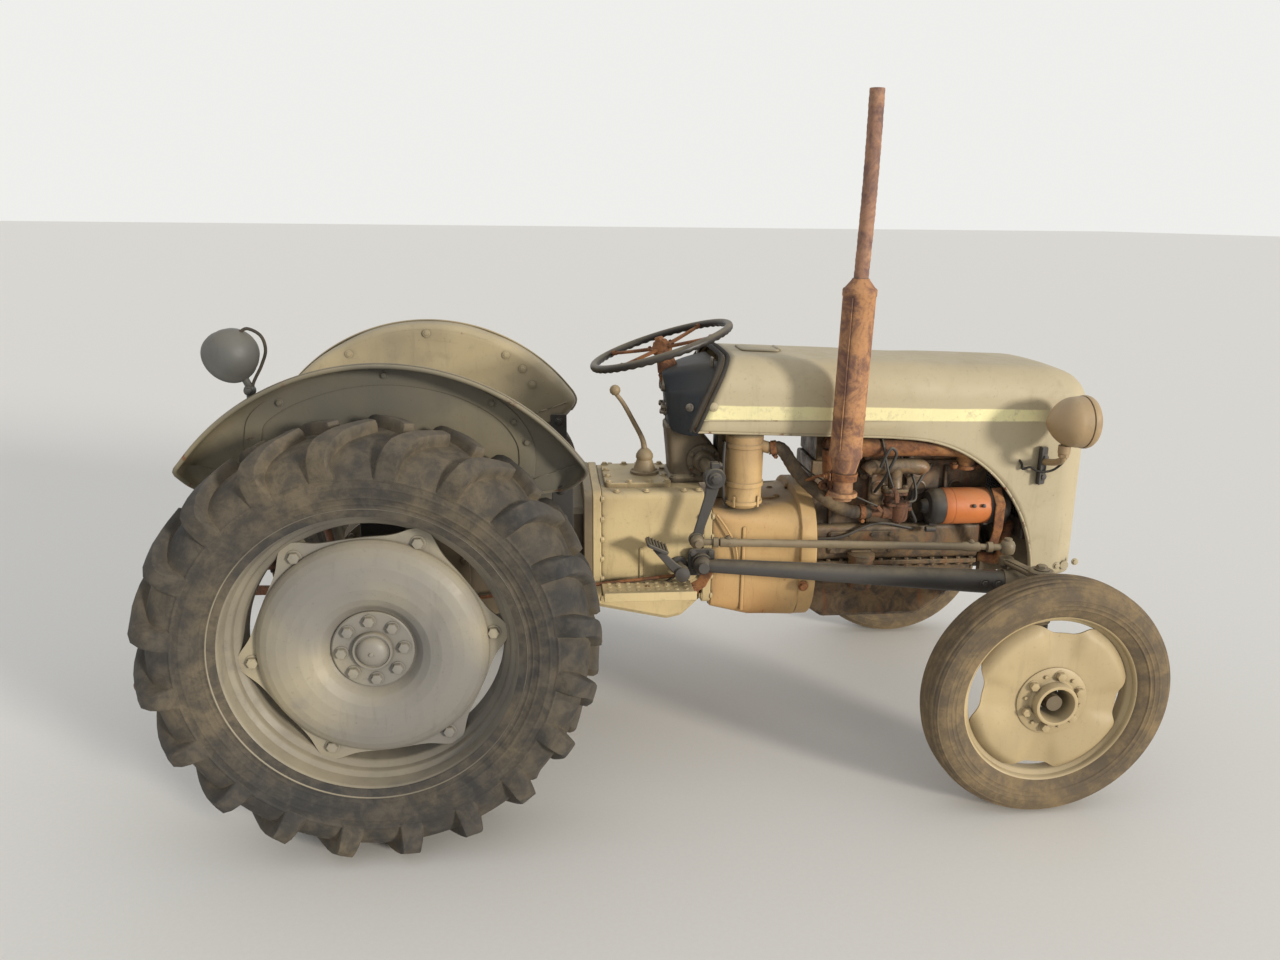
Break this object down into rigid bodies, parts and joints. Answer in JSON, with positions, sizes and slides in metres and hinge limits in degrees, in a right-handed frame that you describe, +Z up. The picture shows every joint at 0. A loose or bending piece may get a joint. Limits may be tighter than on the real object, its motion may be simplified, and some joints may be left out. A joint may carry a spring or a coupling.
{
  "type": "farm tractor",
  "caption": "Small grey farm tractor with open wheels, tilting bonnet, working steering, rear lower links and an upright exhaust.",
  "frame": {"origin": "on the ground under the middle of the whole tractor", "axes": "+X forward along the tractor, +Y to its left, +Z up"},
  "size_m": [2.8379, 1.481, 1.9203],
  "materials": {
    "old_grey_paint": "sun-faded grey enamel, dusty, with a painted cream stripe along the bonnet",
    "casting_grey": "grey painted castings with dust, oil and rust runs",
    "rusty_iron": "rusted bare iron",
    "engine_iron": "oily brown-black iron and road dirt",
    "wheel_paint": "worn silver-grey wheel paint",
    "tyre_rubber": "dusty black tyre rubber",
    "black_rubber": "aged black rubber",
    "dynamo_red": "orange-red enamel between black end covers",
    "lamp_paint": "dull dark grey enamel",
    "bright_steel": "worn bare steel"
  },
  "bodies": {
    "chassis": {"gearbox_case": "casting_grey", "rear_axle_case": "casting_grey", "hydraulic_cover": "casting_grey", "engine_block": "engine_iron", "manifold": "rusty_iron", "exhaust": "rusty_iron", "air_cleaner": "casting_grey", "air_hose": "black_rubber", "dynamo": "dynamo_red", "fan_and_belt": "engine_iron", "radiator": "engine_iron", "fuel_tank": "casting_grey", "front_support": "casting_grey", "front_axle": "casting_grey", "radius_rods": "casting_grey", "steering_column": "old_grey_paint", "fender_left": "old_grey_paint", "fender_right": "old_grey_paint", "footrests": "casting_grey", "seat": "old_grey_paint", "work_lamp": "lamp_paint", "pedals": "casting_grey", "gear_lever": "casting_grey"},
    "rear_wheel_left": {"rear_tyre_left": "tyre_rubber", "rear_rim_left": "wheel_paint", "rear_disc_left": "wheel_paint", "brake_drum_left": "engine_iron"},
    "rear_wheel_right": {"rear_tyre_right": "tyre_rubber", "rear_rim_right": "wheel_paint", "rear_disc_right": "wheel_paint", "brake_drum_right": "engine_iron"},
    "knuckle_left_body": {"knuckle_left": "casting_grey"},
    "knuckle_right_body": {"knuckle_right": "casting_grey"},
    "front_wheel_left_body": {"front_tyre_left": "tyre_rubber", "front_wheel_left": "wheel_paint"},
    "front_wheel_right_body": {"front_tyre_right": "tyre_rubber", "front_wheel_right": "wheel_paint"},
    "steering_wheel_body": {"steering_wheel": "black_rubber"},
    "drop_arm_left_body": {"drop_arm_left": "casting_grey"},
    "drop_arm_right_body": {"drop_arm_right": "casting_grey"},
    "drag_link_left_body": {"drag_link_left": "rusty_iron"},
    "drag_link_right_body": {"drag_link_right": "rusty_iron"},
    "bonnet_body": {"bonnet": "old_grey_paint", "grille": "bright_steel", "headlamps": "lamp_paint"},
    "lower_links_body": {"lower_links": "casting_grey"},
    "lift_arms_body": {"lift_arms": "casting_grey"},
    "lift_rods_body": {"lift_rods": "casting_grey"}
  },
  "joints": [
    {"name": "steer", "type": "hinge", "parent": "chassis", "child": "knuckle_left_body", "pos_m": [1.074, 0.515, 0.345], "axis": [0, 0, 1], "range_deg": [-35, 35]},
    {"name": "knuckle_right_turn", "type": "hinge", "parent": "chassis", "child": "knuckle_right_body", "pos_m": [1.074, -0.515, 0.345], "axis": [0, 0, 1], "range_deg": [-36, 36]},
    {"name": "front_wheel_left_roll", "type": "hinge", "parent": "knuckle_left_body", "child": "front_wheel_left_body", "pos_m": [1.074, 0.6095, 0.345], "axis": [0, 1, 0], "continuous": true},
    {"name": "front_wheel_right_roll", "type": "hinge", "parent": "knuckle_right_body", "child": "front_wheel_right_body", "pos_m": [1.074, -0.6095, 0.345], "axis": [0, 1, 0], "continuous": true},
    {"name": "rear_wheel_left_roll", "type": "hinge", "parent": "chassis", "child": "rear_wheel_left", "pos_m": [-0.704, 0.6095, 0.565], "axis": [0, 1, 0], "continuous": true},
    {"name": "rear_wheel_right_roll", "type": "hinge", "parent": "chassis", "child": "rear_wheel_right", "pos_m": [-0.704, -0.6095, 0.565], "axis": [0, 1, 0], "continuous": true},
    {"name": "steering_wheel_turn", "type": "hinge", "parent": "chassis", "child": "steering_wheel_body", "pos_m": [0.072, 0, 1.222], "axis": [-0.304, 0, 0.9527], "range_deg": [-281, 281]},
    {"name": "drop_arm_left_swing", "type": "hinge", "parent": "chassis", "child": "drop_arm_left_body", "pos_m": [0.201, 0.262, 0.878], "axis": [0, 1, 0], "range_deg": [-26, 26]},
    {"name": "drop_arm_right_swing", "type": "hinge", "parent": "chassis", "child": "drop_arm_right_body", "pos_m": [0.201, -0.262, 0.878], "axis": [0, 1, 0], "range_deg": [-26, 26]},
    {"name": "drag_link_left_swing", "type": "hinge", "parent": "drop_arm_left_body", "child": "drag_link_left_body", "pos_m": [0.154, 0.305, 0.692], "axis": [0, 1, 0], "range_deg": [-26, 26]},
    {"name": "drag_link_right_swing", "type": "hinge", "parent": "drop_arm_right_body", "child": "drag_link_right_body", "pos_m": [0.154, -0.305, 0.692], "axis": [0, 1, 0], "range_deg": [-26, 26]},
    {"name": "bonnet_tilt", "type": "hinge", "parent": "chassis", "child": "bonnet_body", "pos_m": [1.316, 0, 0.566], "axis": [0, 1, 0], "range_deg": [0, 60]},
    {"name": "hitch_lift", "type": "hinge", "parent": "chassis", "child": "lower_links_body", "pos_m": [-0.614, 0, 0.365], "axis": [0, 1, 0], "range_deg": [-6, 34]},
    {"name": "lift_arms_turn", "type": "hinge", "parent": "chassis", "child": "lift_arms_body", "pos_m": [-0.754, 0, 0.806], "axis": [0, 1, 0], "range_deg": [-8, 44]},
    {"name": "lift_rods_swing", "type": "hinge", "parent": "lift_arms_body", "child": "lift_rods_body", "pos_m": [-1.05287, 0, 0.78], "axis": [0, 1, 0], "range_deg": [-42, 8]}
  ],
  "couplings": [
    {"joint": "knuckle_right_turn", "follows": "steer", "ratio": 1},
    {"joint": "steering_wheel_turn", "follows": "steer", "ratio": 8},
    {"joint": "drop_arm_left_swing", "follows": "steer", "ratio": -0.6989},
    {"joint": "drop_arm_right_swing", "follows": "steer", "ratio": 0.6989},
    {"joint": "drag_link_left_swing", "follows": "steer", "ratio": 0.6989},
    {"joint": "drag_link_right_swing", "follows": "steer", "ratio": -0.6989},
    {"joint": "lift_arms_turn", "follows": "hitch_lift", "ratio": 1.26},
    {"joint": "lift_rods_swing", "follows": "hitch_lift", "ratio": -1.2}
  ]
}
